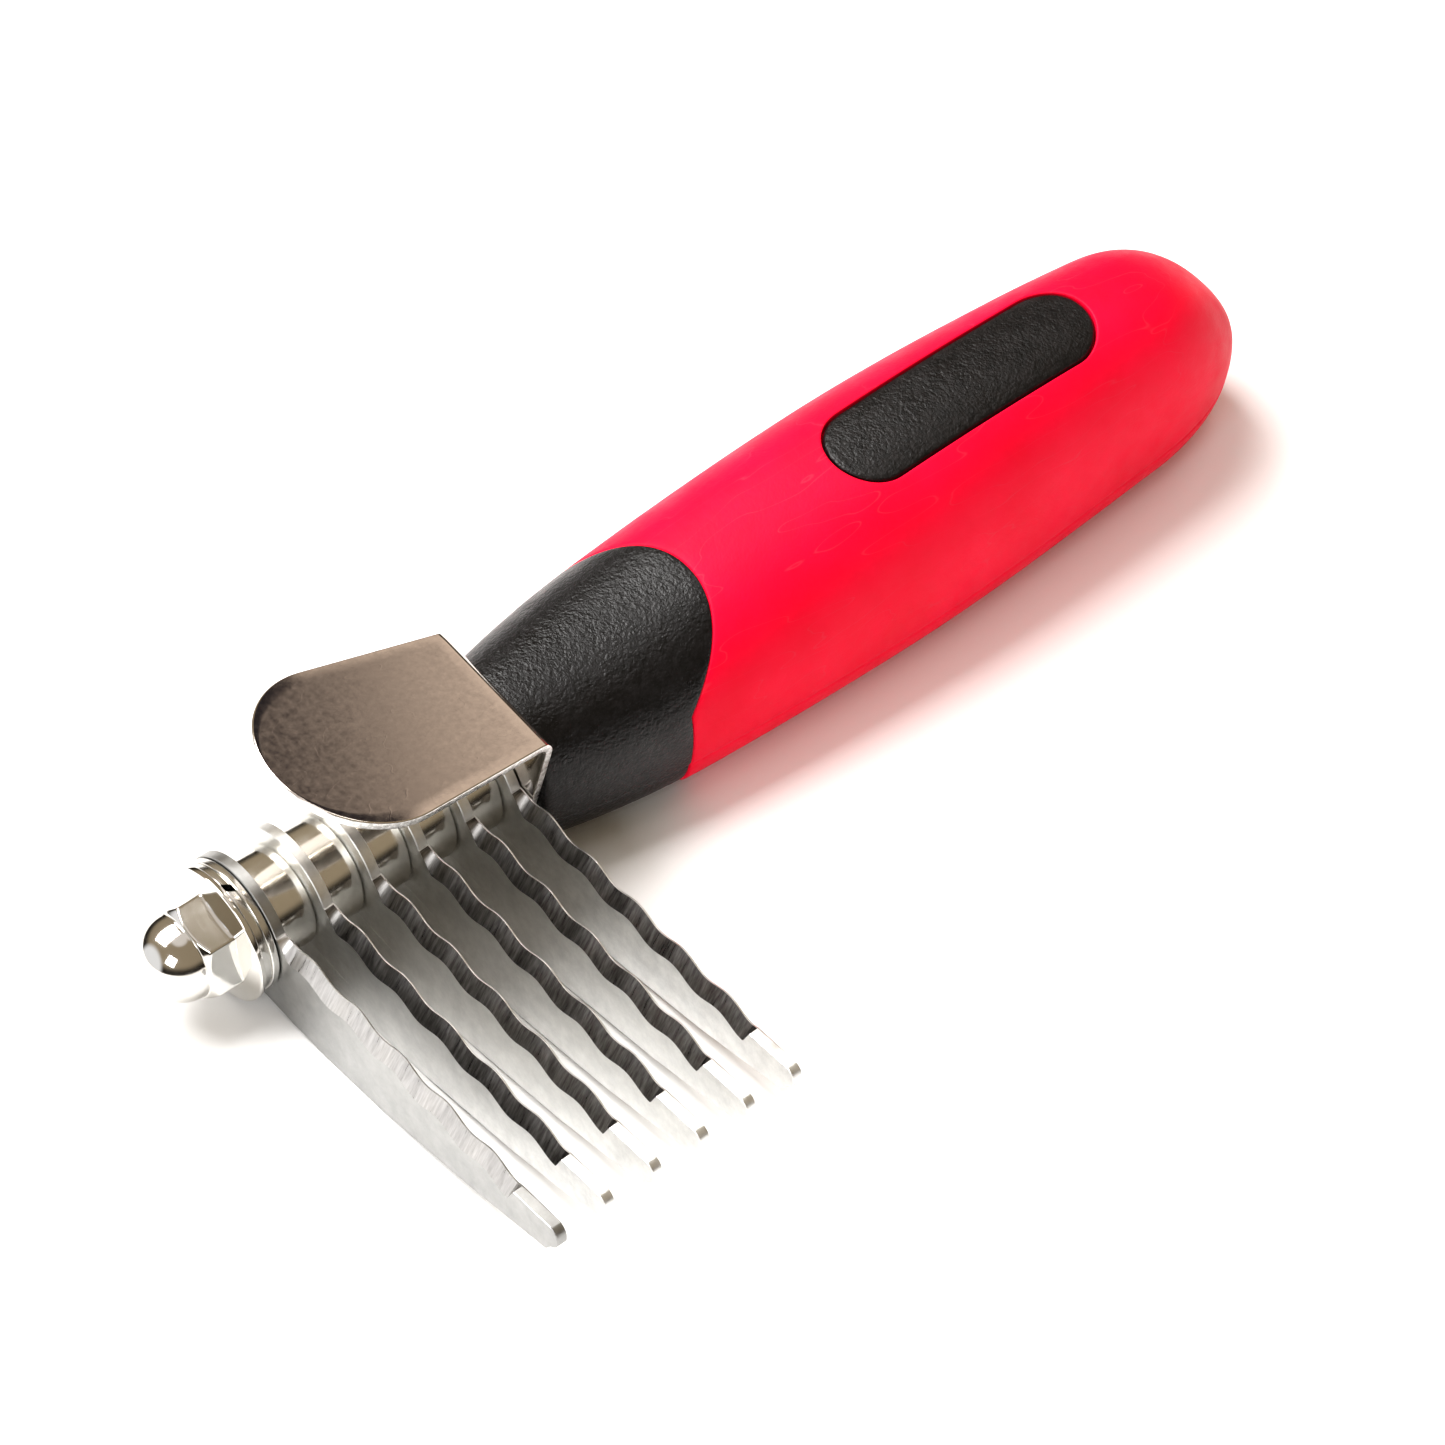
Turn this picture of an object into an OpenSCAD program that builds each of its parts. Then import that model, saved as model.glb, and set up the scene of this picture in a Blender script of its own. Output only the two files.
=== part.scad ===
// Dematting comb with a clamped blade head and a two-colour grip.
// Millimetres. +X runs from the cap nut to the butt of the handle, +Z is up,
// the tool lies on its belly and on its blade tips at z = 0.

/* [Cap nut] */
// width across the flats of the hexagon
nut_af = 12; // [10:0.5:16]
// length of the hexagon
hex_len = 4.3; // [3:0.1:7]
// radius of the domed end
dome_r = 5.7; // [4:0.1:7]
// radius of the flange
flange_r = 9.2; // [7:0.1:12]
// thickness of the flange at its rim
flange_rim = 0.9; // [0.5:0.1:2]
// height of the cone between rim and hexagon
flange_cone = 0.7; // [0.3:0.1:2]

/* [Rod] */
// diameter of the tie rod and of the thread
rod_d = 8; // [5:0.5:10]
// free length of the thread inside the cap nut
rod_in_nut = 7.2; // [4:0.1:9]
// length of the rod inside the handle
rod_in_handle = 46; // [20:1:80]
// radial clearance of the nut on the rod
nut_clear = 0.05; // [0.02:0.01:0.1]
// radial clearance of blades, spacers and washers on the rod
ring_clear = 0.08; // [0.02:0.01:0.1]
// axial play between parts that turn against each other
play = 0.12; // [0.05:0.01:0.3]

/* [Washers] */
// outside radius of the flat washer
flat_washer_r = 8.8; // [7:0.1:11]
// outside radius of the split washer
lock_washer_r = 8.6; // [7:0.1:11]
// thickness of each washer
washer_t = 1.05; // [0.8:0.05:2]
// width of the cut in the split washer
washer_slot = 0.9; // [0.5:0.1:2]

/* [Blades] */
// number of blades
blade_count = 6; // [2:1:9]
// distance from one blade to the next
blade_pitch = 7.24; // [5:0.02:10]
// thickness of a blade
blade_t = 1.5; // [1:0.1:2]
// radius of the ring round the rod
eye_r = 8.95; // [7:0.05:11]
// distance from the rod axis to the end of the tooth
tooth_reach = 59.6; // [40:0.2:80]
// height of the cutting edge over the axis, at the ring
edge_root = 4.9; // [3:0.1:7]
// height of the cutting edge over the axis, at the tip
edge_tip = 7.1; // [3:0.1:10]
// depth of the back under the axis, at the ring
back_root = 7.7; // [5:0.1:9]
// height of the back over the axis, at the tip
back_tip = 2.7; // [0:0.1:6]
// length of one wave of the cutting edge
wave_len = 8.3; // [5:0.1:12]
// height of a wave above and below its mean line
wave_amp = 0.5; // [0:0.05:1]
// distance from the axis to the first crest
wave_start = 13; // [9:0.1:20]
// distance from the axis to the end of the ground edge
bevel_end = 51.5; // [30:0.5:55]
// width of the ground bevel
bevel_w = 2.1; // [1:0.1:3]
// thickness left at the cutting edge
edge_land = 0.2; // [0.1:0.05:0.5]
// radius of the blunt tip
tip_r = 1.9; // [1:0.1:3]

/* [Spacers] */
// outside radius of a spacer
spacer_r = 6.75; // [5:0.05:9]
// chamfer at the ends of a spacer
spacer_chamfer = 0.25; // [0.1:0.05:0.6]

/* [Thumb rest] */
// thickness of the sheet
sheet_t = 1.2; // [0.8:0.1:2]
// inside radius of the bend
bend_r = 1; // [0.5:0.1:3]
// height of the top face over the axis, at the bend
plate_h = 17.3; // [12:0.1:25]
// angle by which the plate rises towards the nut
plate_rise = 15; // [0:1:30]
// length of the plate from the bend to its rounded end
plate_len = 34.3; // [20:0.1:45]
// half width of the plate at the bend
plate_w0 = 10.4; // [8:0.1:14]
// half width of the plate at its rounded end
plate_w1 = 12.6; // [8:0.1:16]
// radius of the lower end of the tab
tab_r = 9; // [7:0.1:10]

/* [Handle] */
// length of the handle
handle_len = 127; // [90:0.2:160]
// length of the rounded butt
butt_len = 21.6; // [10:1:40]
// exponent of the oval section, 2 is an ellipse
oval = 2.4; // [2:0.1:4]
// half height of the belly under the axis
belly_h = 9.5; // [6:0.1:12]
// half width, as distance from the front and size
half_width = [[0, 10.9], [8, 12.8], [18, 14.4], [30, 15.2], [46, 15.7], [62, 15.8],
              [76, 15.3], [92, 14.2], [108, 13], [118, 12.8], [127, 13.2]];
// height over the axis, as distance from the front and size
top_height = [[0, 14.4], [12, 15.3], [22, 16.5], [34, 18.6], [50, 21], [66, 22.6],
              [84, 23.4], [100, 23.2], [112, 21.5], [127, 16.5]];
// height of the seam between the core halves
seam_z = 0; // [-3:0.5:3]
// step of the lower core half behind the upper one
seam_step = 0.25; // [0:0.05:0.6]

/* [Grip] */
// thickness of the soft grip
grip_t = 2.2; // [1:0.1:4]
// where the grip begins at the sides, from the handle's front
grip_side = 20.6; // [10:0.2:30]
// radius of the tongue of the core that runs back over the top
tongue_r = 13.2; // [8:0.2:20]
// where the tongue ends, from the handle's front
tongue_end = 29.8; // [20:0.2:40]
// gap between moulded pieces
mould_gap = 0.05; // [0.02:0.01:0.1]

/* [Inlay] */
// length of the inlay
inlay_len = 42.8; // [20:0.2:60]
// width of the inlay
inlay_w = 11.8; // [6:0.2:20]
// distance from the handle's front to the middle of the inlay
inlay_mid = 75.4; // [50:0.2:90]
// groove round the inlay
inlay_groove = 0.3; // [0.1:0.05:0.6]
// how far the inlay lies under the grip
inlay_drop = 0.15; // [0:0.05:0.5]

/* [Anchor insert] */
// width across the flats of the insert in the handle
insert_af = 10.5; // [9:0.5:14]
// length of the insert
insert_len = 16; // [8:1:30]
// distance from the handle's front to the insert
insert_at = 28; // [10:1:60]
// depth of the locking groove round the insert
insert_groove = 0.8; // [0.3:0.1:1.5]

/* [Pose] */
// roll of the lying tool about the rod
lie_roll = 8.6; // [0:0.1:20]

/* [Hidden] */
fine = 96;
section_points = 44;
body_stations = 30;
butt_stations = 10;
wave_points = 60;
arc_points = 52;
bend_steps = 12;
round_steps = 26;
big = 200;
rod_r = rod_d / 2;
ring_bore = rod_r + ring_clear;
nut_bore = rod_r + nut_clear;
hex_r = nut_af / 2 / cos(30);
flange_x = hex_len + flange_cone + flange_rim;
washer_x = flange_x + play;
blade_x = washer_x + 2 * washer_t + play;
spacer_len = blade_pitch - blade_t;
last_blade_x = blade_x + (blade_count - 1) * blade_pitch;
tab_x = last_blade_x + blade_t + play;
handle_x = tab_x + sheet_t;
rod_x0 = flange_x - rod_in_nut;
rod_x1 = handle_x + rod_in_handle;
bend_x = tab_x - bend_r;
bend_z = plate_h - (bend_r + sheet_t) * sin(90 - plate_rise);
bend_sweep = 90 - plate_rise;

// smooth curve through a table of stations
function part_of(t, s, i = 0) =
    (i >= len(t) - 2 || s < t[i + 1][0]) ? i : part_of(t, s, i + 1);
function grade(t, i) =
    let (a = max(i - 1, 0), b = min(i + 1, len(t) - 1))
    (t[b][1] - t[a][1]) / (t[b][0] - t[a][0]);
function smooth(t, s) =
    let (i = part_of(t, s), h = t[i + 1][0] - t[i][0], u = (s - t[i][0]) / h)
    (2 * pow(u, 3) - 3 * pow(u, 2) + 1) * t[i][1]
    + (pow(u, 3) - 2 * pow(u, 2) + u) * h * grade(t, i)
    + (3 * pow(u, 2) - 2 * pow(u, 3)) * t[i + 1][1]
    + (pow(u, 3) - pow(u, 2)) * h * grade(t, i + 1);

// oval sections of the handle, inset from the outside
body_len = handle_len - butt_len;
stations = [
    for (i = [0 : body_stations - 1]) body_len * i / body_stations,
    for (i = [0 : butt_stations]) body_len + butt_len * sin(87.5 * i / butt_stations)
];
function butt(s) = s <= body_len ? 1 : sqrt(1 - pow((s - body_len) / butt_len, 2));
function signed_pow(v, e) = sign(v) * pow(abs(v), e);
function oval_point(s, a, inset) =
    let (w = max(smooth(half_width, s) * butt(s) - inset, 0.3),
         t = max(smooth(top_height, s) * butt(s) - inset, 0.3),
         b = max(belly_h * butt(s) - inset, 0.3))
    [w * signed_pow(cos(a), 2 / oval), (sin(a) > 0 ? t : b) * signed_pow(sin(a), 2 / oval)];
function handle_points(inset) = [
    for (s = stations)
        for (k = [0 : section_points - 1])
            let (p = oval_point(s, 360 * k / section_points, inset))
            [s * (handle_len - inset) / handle_len, p[0], p[1]]
];

// one tooth outline from the ring out to the tip and back
function edge_mean(y) = edge_root + (edge_tip - edge_root) * y / tooth_reach;
function edge_at(y) =
    let (fade = min(1, (y - edge_y0) / 4, (bevel_end - y) / 2 + 0.6))
    edge_mean(y) + wave_amp * max(fade, 0) * cos(360 * (y - wave_start) / wave_len);
edge_y0 = sqrt(pow(eye_r, 2) - pow(edge_root, 2));
edge_ys = [for (i = [0 : wave_points]) edge_y0 + (bevel_end - edge_y0) * i / wave_points];
tip_mid_y = tooth_reach - tip_r;
tip_mid_z = edge_tip + wave_amp - tip_r;
tip_arc = [for (a = [80 : -20 : -60]) [-tip_mid_y - tip_r * cos(a), tip_mid_z + tip_r * sin(a)]];
back_line = [
    [-tip_mid_y - 0.2, back_tip],
    [-tooth_reach * 0.74, back_tip - (back_root + back_tip) * 0.42],
    [-tooth_reach * 0.47, back_tip - (back_root + back_tip) * 0.8],
    [-tooth_reach * 0.3, 0.4 - back_root],
    [-tooth_reach * 0.2, -back_root]
];
arc_from = -90 - acos((back_root + 0.2) / eye_r);
arc_to = 180 - asin(edge_root / eye_r);
ring_arc = [
    for (i = [0 : arc_points - 1])
        let (a = arc_from + (arc_to - arc_from) * i / arc_points)
        [eye_r * cos(a), eye_r * sin(a)]
];
front_edge = [for (y = edge_ys) [-y, edge_at(y)]];
ground_edge = [
    for (y = edge_ys)
        [-y, edge_at(y) - bevel_w * min(1, (y - edge_y0) / 2.5, (bevel_end - y) / 2.5)]
];
blade_full = concat(front_edge, tip_arc, back_line, ring_arc);
blade_ground = concat(ground_edge, tip_arc, back_line, ring_arc);

// rows of the bent sheet: half width, place of its inner face, turn of its normal
round_at = plate_len - plate_w1;
flare = atan((plate_w1 - plate_w0) / round_at);
plate_x0 = bend_x + bend_r * cos(bend_sweep);
plate_z0 = bend_z + bend_r * sin(bend_sweep);
function plate_row(d, w) =
    [w, plate_x0 - d * cos(plate_rise), plate_z0 + d * sin(plate_rise), bend_sweep];
sheet_rows = [
    for (a = [-86 : 4 : 0]) [tab_r * cos(a), tab_x, tab_r * sin(a), 0],
    for (i = [0 : bend_steps])
        let (a = bend_sweep * i / bend_steps)
        [plate_w0, bend_x + bend_r * cos(a), bend_z + bend_r * sin(a), a],
    for (i = [0 : round_steps])
        let (a = -flare + (88 + flare) * i / round_steps)
        plate_row(round_at + plate_w1 * sin(a), plate_w1 * cos(a))
];

// where the tool touches the ground and how wide it is, for the shared frame
function rolled_y(p) = p[0] * cos(lie_roll) - p[1] * sin(lie_roll);
function rolled_z(p) = p[0] * sin(lie_roll) + p[1] * cos(lie_roll);
outline = [
    for (s = stations)
        for (k = [0 : section_points - 1]) oval_point(s, 360 * k / section_points, 0)
];
axis_h = -min([for (p = outline) rolled_z(p)]);
y_high = max([for (p = outline) rolled_y(p)]);
y_low = min([for (p = blade_full) rolled_y(p)]);
x_low = -dome_r;
x_high = handle_x + max(stations);
frame_x = (x_low + x_high) / 2;
frame_y = (y_low + y_high) / 2;

steel = [0.66, 0.66, 0.67];
nickel = [0.78, 0.77, 0.74];
dark_plastic = [0.06, 0.06, 0.07];
soft_red = [0.83, 0.06, 0.1];
brass = [0.75, 0.6, 0.3];

// ---------- placing ----------

module lay() {
    translate([-frame_x, -frame_y, axis_h])
        rotate([lie_roll, 0, 0])
            children();
}

// turns a body drawn along Z so that it runs along X
module along_x(x) {
    translate([x, 0, 0])
        rotate([0, 90, 0])
            children();
}

// turns a flat outline drawn as (across, up) so that it stands square to X
module across_x(x, t) {
    translate([x, 0, 0])
        rotate([90, 0, 90])
            linear_extrude(t)
                children();
}

// joins freeform shapes into one faceted body at their own size
module one_body() {
    resize([0, 0, 0])
        children();
}

module ring(r_out, r_in, x, t) {
    along_x(x)
        difference() {
            cylinder(r = r_out, h = t, $fn = fine);
            translate([0, 0, -1])
                cylinder(r = r_in, h = t + 2, $fn = fine);
        }
}

// ---------- cap nut ----------

module hex_body() {
    intersection() {
        cylinder(r = hex_r, h = hex_len, $fn = 6);
        rotate_extrude($fn = fine)
            polygon([[0, 0], [nut_af / 2 - 0.1, 0], [hex_r + 0.3, 1.2],
                     [hex_r + 0.3, hex_len], [0, hex_len]]);
    }
}

module flange_body() {
    rotate_extrude($fn = fine)
        polygon([[0, hex_len], [nut_af / 2 + 0.4, hex_len],
                 [flange_r - 0.15, hex_len + flange_cone],
                 [flange_r, hex_len + flange_cone + 0.15],
                 [flange_r, flange_x - 0.15],
                 [flange_r - 0.15, flange_x],
                 [0, flange_x]]);
}

module cap_nut() {
    color(nickel)
        lay()
            along_x(0)
                rotate([0, 0, 41])
                    difference() {
                        union() {
                            sphere(r = dome_r, $fn = fine);
                            hex_body();
                            flange_body();
                        }
                        translate([0, 0, flange_x - rod_in_nut - 0.8])
                            cylinder(r = nut_bore, h = rod_in_nut + 2, $fn = fine);
                    }
}

// ---------- washers ----------

module lock_washer() {
    color(nickel)
        lay()
            difference() {
                ring(lock_washer_r, ring_bore, washer_x, washer_t);
                translate([washer_x + washer_t / 2, 0, rod_r + lock_washer_r / 2])
                    rotate([0, 0, 25])
                        cube([washer_t * 3, washer_slot, lock_washer_r], center = true);
            }
}

module flat_washer() {
    color(nickel)
        lay()
            ring(flat_washer_r, ring_bore, washer_x + washer_t, washer_t);
}

// ---------- blades ----------

// the bevel slopes from the front face to a thin land at the back face
module blade_body() {
    count = len(blade_full);
    polyhedron(
        points = concat(
            [for (p = blade_ground) [0, p[0], p[1]]],
            [for (p = blade_full) [blade_t - edge_land, p[0], p[1]]],
            [for (p = blade_full) [blade_t, p[0], p[1]]]),
        faces = concat(
            [[for (i = [0 : count - 1]) i]],
            [[for (i = [count - 1 : -1 : 0]) 2 * count + i]],
            [for (i = [0 : count - 1]) [i, count + i, (i + 1) % count]],
            [for (i = [0 : count - 1]) [count + i, count + (i + 1) % count, (i + 1) % count]],
            [for (i = [0 : count - 1])
                [count + i, 2 * count + i, 2 * count + (i + 1) % count, count + (i + 1) % count]]),
        convexity = 8);
}

module blade(index) {
    x = blade_x + index * blade_pitch;
    color(steel)
        lay()
            difference() {
                one_body()
                    translate([x, 0, 0])
                        blade_body();
                along_x(x - 1)
                    cylinder(r = ring_bore, h = blade_t + 2, $fn = fine);
            }
}

module blade_1() {
    blade(0);
}

module blade_2() {
    blade(1);
}

module blade_3() {
    blade(2);
}

module blade_4() {
    blade(3);
}

module blade_5() {
    blade(4);
}

module blade_6() {
    blade(5);
}

// ---------- spacers ----------

module spacer(index) {
    x = blade_x + index * blade_pitch + blade_t;
    c = spacer_chamfer;
    color(nickel)
        lay()
            along_x(x)
                rotate_extrude($fn = fine)
                    polygon([[ring_bore, 0], [spacer_r - c, 0], [spacer_r, c],
                             [spacer_r, spacer_len - c], [spacer_r - c, spacer_len],
                             [ring_bore, spacer_len]]);
}

module spacer_1() {
    spacer(0);
}

module spacer_2() {
    spacer(1);
}

module spacer_3() {
    spacer(2);
}

module spacer_4() {
    spacer(3);
}

module spacer_5() {
    spacer(4);
}

// ---------- thumb rest ----------

// each row of the sheet holds its inner edge, then its outer edge
module sheet_body() {
    rows = len(sheet_rows);
    polyhedron(
        points = [
            for (r = sheet_rows, side = [0, 1, 3, 2])
                [r[1] + floor(side / 2) * sheet_t * cos(r[3]),
                 (side % 2 == 0 ? -1 : 1) * r[0],
                 r[2] + floor(side / 2) * sheet_t * sin(r[3])]
        ],
        faces = concat(
            [[0, 1, 2, 3]],
            [[for (k = [3 : -1 : 0]) 4 * (rows - 1) + k]],
            [for (i = [0 : rows - 2])
                for (k = [0 : 3])
                    [4 * i + k, 4 * (i + 1) + k, 4 * (i + 1) + (k + 1) % 4, 4 * i + (k + 1) % 4]]),
        convexity = 4);
}

module thumb_rest() {
    color(steel)
        lay()
            difference() {
                one_body()
                    sheet_body();
                along_x(tab_x - 1)
                    cylinder(r = rod_r + nut_clear, h = sheet_t + 2, $fn = fine);
            }
}

// ---------- rod and insert ----------

module tie_rod() {
    len_all = rod_x1 - rod_x0;
    c = 0.8;
    color(steel)
        lay()
            along_x(rod_x0)
                rotate_extrude($fn = fine)
                    polygon([[0, 0], [rod_r - c, 0], [rod_r, c], [rod_r, len_all - c],
                             [rod_r - c, len_all], [0, len_all]]);
}

module insert_shape(extra) {
    r = (insert_af / 2 + extra) / cos(30);
    along_x(handle_x + insert_at - extra)
        cylinder(r = r, h = insert_len + 2 * extra, $fn = 6);
}

module anchor_insert() {
    groove_w = insert_len / 4;
    color(brass)
        lay()
            difference() {
                insert_shape(0);
                along_x(handle_x + insert_at + (insert_len - groove_w) / 2)
                    difference() {
                        cylinder(r = insert_af, h = groove_w, $fn = fine);
                        translate([0, 0, -1])
                            cylinder(r = insert_af / 2 - insert_groove, h = groove_w + 2, $fn = fine);
                    }
                along_x(handle_x + insert_at - 1)
                    cylinder(r = rod_r + nut_clear, h = insert_len + 2, $fn = fine);
            }
}

// ---------- handle ----------

module handle_shape(inset) {
    n = section_points;
    rows = len(stations);
    polyhedron(
        points = handle_points(inset),
        faces = concat(
            [[for (k = [0 : n - 1]) k]],
            [[for (k = [n - 1 : -1 : 0]) (rows - 1) * n + k]],
            [for (i = [0 : rows - 2])
                for (k = [0 : n - 1])
                    [i * n + k, (i + 1) * n + k, i * n + (k + 1) % n]],
            [for (i = [0 : rows - 2])
                for (k = [0 : n - 1])
                    [(i + 1) * n + k, (i + 1) * n + (k + 1) % n, i * n + (k + 1) % n]]),
        convexity = 6);
}

// the part of the handle in front of the soft grip
module neck_zone(extra) {
    translate([0, 0, -big / 2])
        linear_extrude(big) {
            translate([-big + grip_side + extra, -big / 2])
                square([big, big]);
            translate([tongue_end - tongue_r, 0])
                circle(r = tongue_r + extra, $fn = fine);
        }
}

module inlay_zone(extra) {
    straight = inlay_len - inlay_w;
    linear_extrude(big) {
        translate([inlay_mid - straight / 2, -inlay_w / 2 - extra])
            square([straight, inlay_w + 2 * extra]);
        for (side = [-1, 1])
            translate([inlay_mid + side * straight / 2, 0])
                circle(r = inlay_w / 2 + extra, $fn = fine);
    }
}

module core_half(neck_inset, z_from) {
    difference() {
        one_body()
            intersection() {
                translate([handle_x, 0, 0])
                    union() {
                        handle_shape(grip_t + mould_gap);
                        intersection() {
                            handle_shape(neck_inset);
                            neck_zone(0);
                        }
                    }
                translate([-big, -big, z_from])
                    cube([4 * big, 2 * big, big]);
            }
        along_x(handle_x - 1)
            cylinder(r = rod_r + nut_clear, h = rod_in_handle + 1.5, $fn = fine);
        insert_shape(mould_gap);
    }
}

module core_upper() {
    color(dark_plastic)
        lay()
            core_half(0, seam_z + mould_gap / 2);
}

module core_lower() {
    color(dark_plastic)
        lay()
            core_half(seam_step, seam_z - big - mould_gap / 2);
}

module grip() {
    color(soft_red)
        lay()
            translate([handle_x, 0, 0])
                one_body()
                    difference() {
                        handle_shape(0);
                        handle_shape(grip_t);
                        neck_zone(mould_gap);
                        inlay_zone(inlay_groove);
                    }
}

module inlay() {
    color(dark_plastic)
        lay()
            translate([handle_x, 0, 0])
                one_body()
                    intersection() {
                        difference() {
                            handle_shape(inlay_drop);
                            handle_shape(grip_t);
                        }
                        inlay_zone(0);
                    }
}

cap_nut();
lock_washer();
flat_washer();
blade_1();
blade_2();
blade_3();
blade_4();
blade_5();
blade_6();
spacer_1();
spacer_2();
spacer_3();
spacer_4();
spacer_5();
thumb_rest();
tie_rod();
anchor_insert();
core_upper();
core_lower();
grip();
inlay();
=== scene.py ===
import math

import bmesh
import bpy
import numpy as np
from mathutils import Matrix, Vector
from mathutils.geometry import tessellate_polygon


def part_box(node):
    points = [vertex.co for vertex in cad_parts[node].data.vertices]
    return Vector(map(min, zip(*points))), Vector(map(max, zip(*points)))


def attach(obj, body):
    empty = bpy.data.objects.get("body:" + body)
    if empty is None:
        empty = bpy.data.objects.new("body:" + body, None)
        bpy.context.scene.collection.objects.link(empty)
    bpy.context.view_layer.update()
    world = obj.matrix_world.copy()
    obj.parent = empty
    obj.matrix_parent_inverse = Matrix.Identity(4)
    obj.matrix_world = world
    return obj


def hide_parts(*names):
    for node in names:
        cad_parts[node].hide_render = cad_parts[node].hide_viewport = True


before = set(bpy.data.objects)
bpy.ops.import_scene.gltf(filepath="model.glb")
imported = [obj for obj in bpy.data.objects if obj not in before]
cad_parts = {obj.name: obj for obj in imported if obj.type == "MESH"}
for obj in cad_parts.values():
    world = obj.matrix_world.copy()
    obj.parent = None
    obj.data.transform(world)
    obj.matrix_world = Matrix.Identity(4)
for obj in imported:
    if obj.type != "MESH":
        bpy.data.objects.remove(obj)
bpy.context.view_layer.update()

# ---------- measures of the part, in millimetres ----------

# x runs along the rod from the nut's dome to the handle, z up through the thumb rest
MM = 0.001
LIE_ROLL = math.radians(8.6)
ROD_X0, ROD_X1, ROD_R = -1.3, 93.26, 4.0
THREAD_PITCH, THREAD_DEPTH, THREAD_END = 1.25, 0.55, 15.0
RING_BORE = 4.08
FIT_BORE = 4.05
BLADE_X = 8.24
BLADE_PITCH = 7.24
BLADE_T = 1.5
EYE_R = 8.95
TOOTH_REACH = 59.6
EDGE_ROOT, EDGE_TIP = 4.9, 7.1
BACK_ROOT, BACK_TIP = 7.7, 2.7
WAVE_LEN, WAVE_AMP, WAVE_START = 8.3, 0.5, 13.0
BEVEL_END, BEVEL_W, EDGE_LAND, TIP_R = 51.5, 2.1, 0.2, 1.9
SPACER_R = 6.75
NUT_AF, HEX_LEN, DOME_R, NUT_BORE_LEN = 12.0, 4.3, 5.7, 8.0
NUT_CORNER = math.radians(41)
FLANGE_R, FLANGE_CONE, FLANGE_X = 9.2, 0.7, 5.9
WASHER_X, WASHER_T, FLAT_WASHER_R, LOCK_WASHER_R = 6.02, 1.05, 8.8, 8.6
LOCK_MID_R, LOCK_HALF_CUT, LOCK_LEAN = 6.3, 0.45, math.radians(25)
TAB_X, SHEET_T, BEND_R, BEND_X, BEND_Z = 46.06, 1.2, 1.0, 45.06, 15.175
PLATE_RISE, PLATE_LEN, PLATE_W0, PLATE_W1, TAB_R = math.radians(15), 34.3, 10.4, 12.6, 9.0
HANDLE_X, HANDLE_LEN, BUTT_LEN, OVAL, BELLY_H = 47.26, 127.0, 21.6, 2.4, 9.5
HALF_WIDTH = [[0, 10.9], [8, 12.8], [18, 14.4], [30, 15.2], [46, 15.7], [62, 15.8],
              [76, 15.3], [92, 14.2], [108, 13], [118, 12.8], [127, 13.2]]
TOP_HEIGHT = [[0, 14.4], [12, 15.3], [22, 16.5], [34, 18.6], [50, 21], [66, 22.6],
              [84, 23.4], [100, 23.2], [112, 21.5], [127, 16.5]]
GRIP_T, GRIP_SIDE, TONGUE_R, TONGUE_END, GAP = 2.2, 20.6, 13.2, 29.8, 0.05
SEAM_STEP = 0.25
INLAY_LEN, INLAY_W, INLAY_MID, INLAY_GROOVE, INLAY_DROP = 42.8, 11.8, 75.4, 0.3, 0.15
POCKET_DEPTH, INLAY_BOTTOM = 1.7, 1.6
ANCHOR_X0, ANCHOR_X1, ANCHOR_R, CORE_BORE_END = 27.9, 44.1, 6.2, 46.5
BUTT_END = math.radians(87.5)
BODY_LEN = HANDLE_LEN - BUTT_LEN

# the rod's axis and its free end give the place of everything else
rod_lo, rod_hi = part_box("tie_rod")
ORIGIN = np.array([rod_lo[0] / MM - ROD_X0,
                   (rod_lo[1] + rod_hi[1]) / 2 / MM,
                   (rod_lo[2] + rod_hi[2]) / 2 / MM])


def placed(points):
    """Rod frame in millimetres to row frame in metres."""
    p = np.asarray(points, float).reshape(-1, 3)
    c, s = math.cos(LIE_ROLL), math.sin(LIE_ROLL)
    turned = np.stack([p[:, 0], p[:, 1] * c - p[:, 2] * s, p[:, 1] * s + p[:, 2] * c], 1)
    return (turned + ORIGIN) * MM


# ---------- materials ----------

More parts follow.
